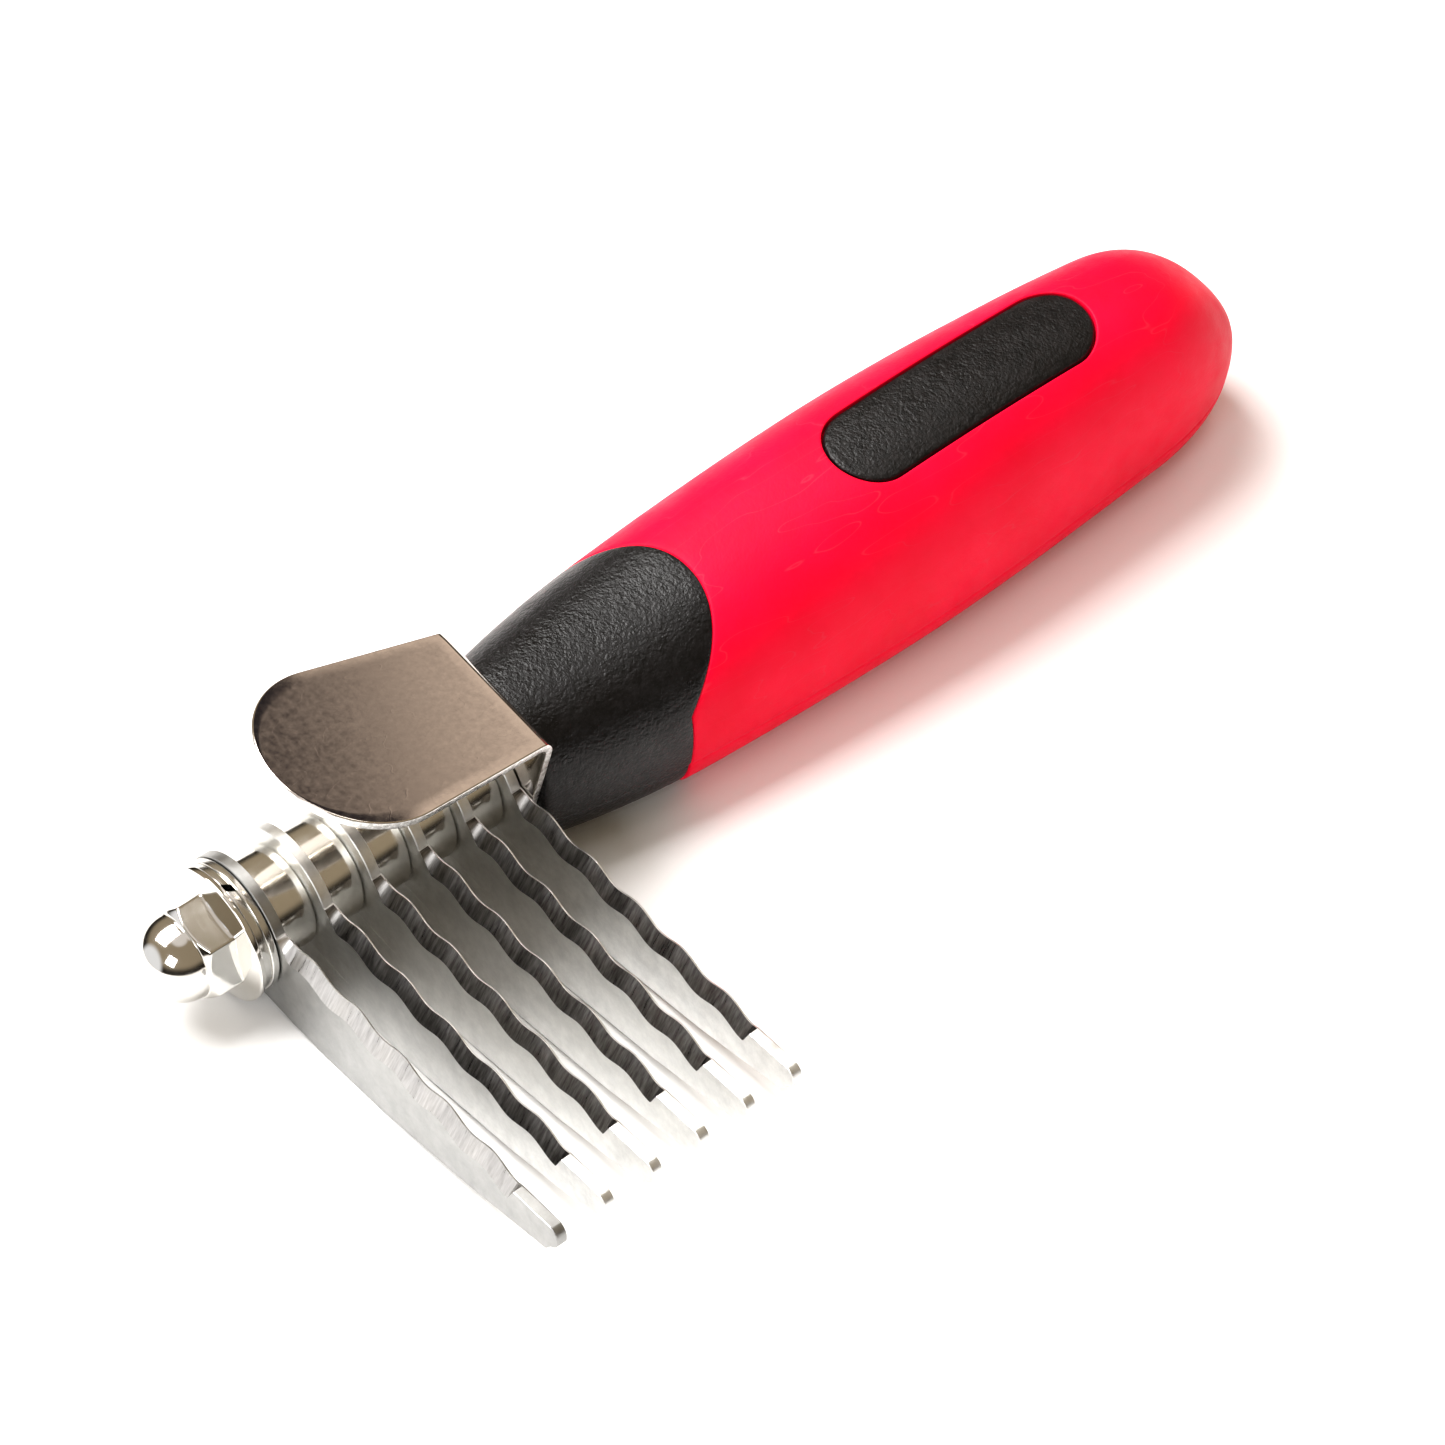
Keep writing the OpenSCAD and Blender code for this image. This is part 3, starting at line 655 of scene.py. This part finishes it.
def smooth(table, s):
    """Reads a table of (place, value) along a smooth curve through its points."""
    t = np.array(table, float)
    n = len(t)
    grade = np.array([(t[min(k + 1, n - 1), 1] - t[max(k - 1, 0), 1])
                      / (t[min(k + 1, n - 1), 0] - t[max(k - 1, 0), 0]) for k in range(n)])
    i = np.clip(np.searchsorted(t[:, 0], s, side="right") - 1, 0, n - 2)
    h = t[i + 1, 0] - t[i, 0]
    u = (s - t[i, 0]) / h
    return ((2 * u ** 3 - 3 * u ** 2 + 1) * t[i, 1] + (u ** 3 - 2 * u ** 2 + u) * h * grade[i]
            + (3 * u ** 2 - 2 * u ** 3) * t[i + 1, 1] + (u ** 3 - u ** 2) * h * grade[i + 1])


def girth(s, inset):
    """Half width, top height and belly height of the handle's section."""
    fall = np.sqrt(np.clip(1 - (np.maximum(s - BODY_LEN, 0) / BUTT_LEN) ** 2, 0, 1))
    return [np.maximum(v * fall - inset, 0.3)
            for v in (smooth(HALF_WIDTH, s), smooth(TOP_HEIGHT, s), BELLY_H + 0 * s)]


def skin(s, a, inset):
    """A point of the handle's surface, or of one that lies inside it."""
    s, a, inset = np.broadcast_arrays(s, a, inset)
    w, t, b = girth(s, inset)
    c, h = np.cos(a), np.sin(a)
    c = np.where(np.abs(c) < 1e-9, 0, c)
    h = np.where(np.abs(h) < 1e-9, 0, h)
    y = w * np.sign(c) * np.abs(c) ** (2 / OVAL)
    z = np.where(h > 0, t, b) * np.sign(h) * np.abs(h) ** (2 / OVAL)
    return np.stack([HANDLE_X + s * (HANDLE_LEN - inset) / HANDLE_LEN, y, z], -1)


def top_point(x, y, depth):
    """The point of the handle's top over a place in plan view, x from the handle's front."""
    s = x * HANDLE_LEN / (HANDLE_LEN - depth)
    w, t, _ = girth(s, depth)
    z = t * np.clip(1 - (np.abs(y) / w) ** OVAL, 0, 1) ** (1 / OVAL)
    return np.stack([HANDLE_X + x, y, z], -1)


def neck_line(a):
    """How far the black neck reaches back in each direction round the handle."""
    side, blend = GRIP_SIDE - 0.6, 2.0
    s = np.full(a.shape, side + 4.0)
    mid = TONGUE_END - TONGUE_R
    for _ in range(40):
        y = np.abs(skin(s, a, 0.0)[..., 1])
        reach = mid + np.sqrt(np.clip(TONGUE_R ** 2 - y ** 2, 0, None))
        s = (reach + side) / 2 + np.sqrt(((reach - side) / 2) ** 2 + blend ** 2)
    return s


SIDE_STEPS = np.radians([0.25, 0.6, 1.2, 2.2, 3.6])
QUARTER = np.concatenate([[0], SIDE_STEPS, np.radians(np.linspace(5.5, 90, 40))])
UPPER = np.concatenate([QUARTER, math.pi - QUARTER[-2::-1]])
ROUND = np.concatenate([UPPER, math.pi + UPPER[1:-1]])


def from_seam(a):
    """The angle between a direction round the handle and the nearer seam."""
    return np.minimum(np.abs(((a + math.pi / 2) % math.pi) - math.pi / 2), math.pi)


def make_core(name, node, turns, extra, seam):
    """A half of the core: each column runs out of the bore, over the front and back."""
    neck = neck_line(turns) - GAP
    deep = GRIP_T + GAP
    lead, tail = 0.7, 0.3
    crease = 0.16 * np.clip(1 - from_seam(turns) / math.radians(1.2), 0, 1)
    columns = []

    def at(s, inset):
        columns.append(skin(s + 0 * turns, turns, inset + 0 * turns))

    def bore(s, r):
        columns.append(np.stack([HANDLE_X + s + 0 * turns, r * np.cos(turns),
                                 r * np.sin(turns)], -1))

    for s, r in ((CORE_BORE_END, 0.0), (CORE_BORE_END, FIT_BORE), (ANCHOR_X1, FIT_BORE),
                 (ANCHOR_X1, ANCHOR_R), (ANCHOR_X0, ANCHOR_R), (ANCHOR_X0, FIT_BORE),
                 (0.3, FIT_BORE), (0.0, FIT_BORE + 0.3)):
        bore(s, r)
    for t in np.radians([0, 22, 45, 68, 90]):
        at(lead * (1 - math.cos(t)), extra + crease + lead * (1 - math.sin(t)))
    for t in np.linspace(0, 1, 26)[1:]:
        at(lead + (neck - tail - lead) * t, extra + crease)
    for t in np.radians([30, 60, 90]):
        at(neck - tail + tail * math.sin(t), extra + crease + tail * (1 - math.cos(t)))
    at(neck, deep)
    for s in np.linspace(34, BODY_LEN, 16):
        at(s, deep)
    for t in np.radians(np.linspace(0, 87, 14)[1:]):
        at(BODY_LEN + BUTT_LEN * math.sin(t), deep)
    bore(BODY_LEN + BUTT_LEN * math.sin(math.radians(87)) * 0.99, 0.0)
    p = np.stack(columns, 1)
    p[..., 2] = np.maximum(p[..., 2], seam) if seam > 0 else np.minimum(p[..., 2], seam)
    shell = Shell()
    count = p.shape[1]
    start = shell.grid(p, round_v=True)
    shell.face([start + k for k in range(count)])
    shell.face([start + (len(turns) - 1) * count + k for k in reversed(range(count))])
    shell.piece(name, [BLACK], "handle", [node], 34, weld=0.004)


def stadium(offset, steps):
    """Points round the inlay's outline, moved outwards; steps holds quarter-turn shares."""
    half = (INLAY_LEN - INLAY_W) / 2
    r0 = INLAY_W / 2 + INLAY_GROOVE
    r = INLAY_W / 2 + offset
    bend = math.pi / 2 * r0 / (math.pi / 2 * r0 + half)
    quarter = np.floor(steps).astype(int) % 4
    f = steps - np.floor(steps)
    f = np.where(quarter % 2 == 0, f, 1 - f)
    a = np.minimum(f / bend, 1) * math.pi / 2
    x = r * np.cos(a) + np.where(f < bend, half, half * (1 - (f - bend) / (1 - bend)))
    y = r * np.sin(a)
    x = np.where((quarter == 1) | (quarter == 2), -x, x)
    y = np.where(quarter >= 2, -y, y)
    return x + INLAY_MID, y


def make_grip():
    """The sleeve's inside and outside as rings, with a window filled round the inlay."""
    neck = neck_line(ROUND)
    lip = 0.35
    groove = 0.13 * np.clip(1 - from_seam(ROUND) / math.radians(0.9), 0, 1)
    rows, plan = [], []

    def at(s, inset):
        s = s + 0 * ROUND
        rows.append(skin(s, ROUND, inset + 0 * ROUND))
        plan.append(s)

    for t in np.linspace(BUTT_END, 0, 12):
        at(BODY_LEN + BUTT_LEN * math.sin(t), GRIP_T)
    for s in np.linspace(BODY_LEN, 34, 14)[1:]:
        at(s, GRIP_T)
    at(neck, GRIP_T)
    for t in np.radians([90, 67, 45, 22, 0]):
        at(neck + lip * (1 - math.sin(t)), groove + lip * (1 - math.cos(t)))
    outer = len(rows)
    for t in np.linspace(0, 1, 19)[1:]:
        at(neck + lip + (42 - neck - lip) * t, groove)
    for s in np.linspace(42, BODY_LEN, 61)[1:]:
        at(s, groove)
    for t in np.linspace(0, BUTT_END, 32)[1:]:
        at(BODY_LEN + BUTT_LEN * math.sin(t), groove)
    p = np.stack(rows)
    s_row = np.array([q[len(QUARTER) - 1] for q in plan])
    window_x0, window_x1, window_side = 49.5, 101.5, 57
    near = [i for i in range(outer, len(s_row)) if window_x0 < s_row[i] < window_x1]
    if (near[-1] - near[0]) % 2:
        near = near[:-1]
    i0, i1 = near[0], near[-1]
    top = len(QUARTER) - 1
    j0 = int(np.argmin(np.abs(np.degrees(QUARTER) - window_side)))
    j1 = 2 * top - j0
    shell = Shell()
    start = shell.grid(p, round_v=True, skip=lambda i, j: i0 <= i < i1 and j0 <= j < j1)
    wide = len(ROUND)
    shell.face([start + k for k in range(wide)])
    shell.face([start + (len(p) - 1) * wide + k for k in reversed(range(wide))])
    mid = (i0 + i1) // 2
    edge = ([(i1, j) for j in range(top, j0, -1)] + [(i, j0) for i in range(i1, i0, -1)]
            + [(i0, j) for j in range(j0, j1)] + [(i, j1) for i in range(i0, i1)]
            + [(i1, j) for j in range(j1, top, -1)])
    quarter = (top - j0) + (i1 - mid)
    steps = np.arange(len(edge)) / quarter
    rim = np.array([p[i, j] for i, j in edge])
    rim_x, rim_y = rim[:, 0] - HANDLE_X, rim[:, 1]
    soft = 0.3
    rings = [rim]
    for t in np.linspace(0, 1, 10)[1:]:
        x, y = stadium(INLAY_GROOVE + soft, steps)
        u = 1 - (1 - t) ** 1.3
        rings.append(top_point(rim_x * (1 - u) + x * u, rim_y * (1 - u) + y * u, 0.0))
    for t in np.radians([18, 36, 54, 72, 90]):
        x, y = stadium(INLAY_GROOVE + soft * (1 - math.sin(t)), steps)
        rings.append(top_point(x, y, soft * (1 - math.cos(t))))
    for offset in (INLAY_GROOVE, 0.0, -2.5, -INLAY_W / 2):
        x, y = stadium(offset, steps)
        rings.append(top_point(x, y, POCKET_DEPTH))
    shell.grid(np.stack(rings), round_v=True)
    shell.piece("grip_sleeve", [RUBBER], "handle", ["grip"], 40)


def make_inlay():
    steps = np.linspace(0, 4, 176, endpoint=False)
    rings = []

    def ring(offset, depth):
        x, y = stadium(offset, steps)
        rings.append(top_point(x, y, depth))

    for offset, depth in ((-INLAY_W / 2, INLAY_BOTTOM), (-2.5, INLAY_BOTTOM),
                          (-0.2, INLAY_BOTTOM), (0.0, INLAY_BOTTOM - 0.2), (0.0, 0.9)):
        ring(offset, depth)
    soft = 0.35
    for t in np.radians([0, 18, 36, 54, 72, 90]):
        ring(-soft * (1 - math.cos(t)), INLAY_DROP + soft * (1 - math.sin(t)))
    for t in np.linspace(0, 1, 14)[1:]:
        ring(-soft - (INLAY_W / 2 - soft) * t, INLAY_DROP)
    shell = Shell()
    shell.grid(np.stack(rings), round_v=True)
    shell.piece("inlay_plate", [INLAY], "handle", ["inlay"], 40)


# ---------- camera, light, floor ----------

def look_from(place, back, up):
    """The matrix of something at a place that looks away from back."""
    right = np.cross(up, back)
    right /= np.linalg.norm(right)
    up = np.cross(back, right)
    m = np.eye(4)
    m[:3, 0], m[:3, 1], m[:3, 2], m[:3, 3] = right, up, back / np.linalg.norm(back), place
    return Matrix(m.tolist())


CAMERA_PLACE = np.array([-289.84, -289.87, 449.81]) * MM
CAMERA_BACK = np.array([-0.465937, -0.497187, 0.731920])
CAMERA_UP = np.array([0.470080, 0.561708, 0.680815])


def make_camera():
    data = bpy.data.cameras.new("camera")
    data.sensor_width, data.lens, data.clip_start = 36.0, 120.02, 0.05
    camera = bpy.data.objects.new("camera", data)
    bpy.context.collection.objects.link(camera)
    camera.matrix_world = look_from(CAMERA_PLACE, CAMERA_BACK, CAMERA_UP)
    bpy.context.scene.camera = camera


def make_light(name, place, size, watts, colour):
    """A rectangular lamp that faces the middle of the frame."""
    data = bpy.data.lights.new(name, "AREA")
    data.shape, data.size, data.size_y = "RECTANGLE", size[0], size[1]
    data.energy, data.color = watts, colour
    light = bpy.data.objects.new(name, data)
    bpy.context.collection.objects.link(light)
    place = np.array(place, float)
    back = place / np.linalg.norm(place)
    light.matrix_world = look_from(place, back, np.array([0.0, 1.0, 0.001]))


def make_world():
    world = bpy.data.worlds.new("studio")
    world.use_nodes = True
    bpy.context.scene.world = world
    tree = world.node_tree
    where = tree.nodes.new("ShaderNodeTexCoord").outputs["Generated"]

    def toward(direction, low, high):
        dot = tree.nodes.new("ShaderNodeVectorMath")
        dot.operation = "DOT_PRODUCT"
        tree.links.new(where, dot.inputs[0])
        dot.inputs[1].default_value = direction
        span = tree.nodes.new("ShaderNodeMapRange")
        span.interpolation_type = "SMOOTHSTEP"
        span.inputs["From Min"].default_value = low
        span.inputs["From Max"].default_value = high
        tree.links.new(dot.outputs["Value"], span.inputs["Value"])
        return span.outputs["Result"]

    def blend(fac, a, b):
        mix = tree.nodes.new("ShaderNodeMix")
        mix.data_type = "RGBA"
        tree.links.new(fac, mix.inputs[0])
        for put, value in ((mix.inputs[6], a), (mix.inputs[7], b)):
            if hasattr(value, "is_output"):
                tree.links.new(value, put)
            else:
                put.default_value = (*value, 1)
        return mix.outputs[2]

    # a dim room with a warm ceiling and a pale patch overhead
    sky = blend(toward((0, 0, 1), 0.10, 0.40), (0.035, 0.03, 0.025), (0.34, 0.28, 0.2))
    sky = blend(toward((0, 0, 1), 0.92, 0.97), sky, (0.75, 0.7, 0.66))
    # a bright screen to the left, which the ground bevel of the first blade reflects
    sky = blend(toward((-0.93, 0.37, 0.05), 0.80, 0.92), sky, (0.9, 0.9, 0.92))
    # a tan wall with a dark edge, which the thumb rest's plate reflects
    wall = blend(toward((-0.685, 0.247, 0.685), -0.082, -0.04),
                 (0.74, 0.60, 0.49), (0.03, 0.025, 0.028))
    sky = blend(toward((0.76, 0.345, 0.55), 0.93, 0.97), sky, wall)
    # the camera itself sees a plain white background
    seen = tree.nodes.new("ShaderNodeLightPath").outputs["Is Camera Ray"]
    sky = blend(seen, sky, (1.0, 1.0, 1.0))
    tree.links.new(sky, tree.nodes["Background"].inputs["Color"])
    tree.nodes["Background"].inputs["Strength"].default_value = 1.0


def make_floor():
    """A disc at z = 0, turned like the lathe parts and laid flat."""
    shell = Shell()
    rings = around(np.array([[0.0, r] for r in (0.0, 300.0, 1200.0, 4000.0)]), 96)
    shell.grid(rings.transpose(1, 0, 2), round_v=True)
    flat = np.array(shell.points)[:, [1, 2, 0]] * MM
    mesh = bpy.data.meshes.new("floor")
    mesh.from_pydata(flat.tolist(), [], shell.faces)
    mesh.materials.append(FLOOR)
    work = bmesh.new()
    work.from_mesh(mesh)
    bmesh.ops.remove_doubles(work, verts=work.verts, dist=1e-5)
    bmesh.ops.recalc_face_normals(work, faces=work.faces)
    work.to_mesh(mesh)
    work.free()
    floor = bpy.data.objects.new("floor", mesh)
    bpy.context.collection.objects.link(floor)


# ---------- the whole ----------

make_nut()
make_washers()
for number in range(6):
    make_blade(number)
for number in range(5):
    make_spacer(number)
make_rod()
make_thumb_rest()
make_core("core_upper_half", "core_upper", UPPER, 0.0, GAP / 2)
make_core("core_lower_half", "core_lower", math.pi + UPPER, SEAM_STEP, -GAP / 2)
make_grip()
make_inlay()

# the insert is sealed inside the handle, so it keeps its CAD mesh
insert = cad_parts["anchor_insert"]
for held in insert.material_slots:
    held.material = BRASS

make_camera()
make_world()
make_light("key", (-0.25, 0.45, 0.85), (0.8, 0.6), 16.5, (1.0, 0.99, 0.98))
make_light("top", (0.37, -0.04, 0.93), (0.1, 0.45), 0.9, (1.0, 0.98, 0.95))
make_light("fill", (-0.75, -0.35, 0.5), (0.35, 0.35), 2.8, (0.95, 0.97, 1.0))
make_floor()
bpy.context.scene.view_settings.view_transform = "Standard"
bpy.context.scene.view_settings.look = "Medium High Contrast"
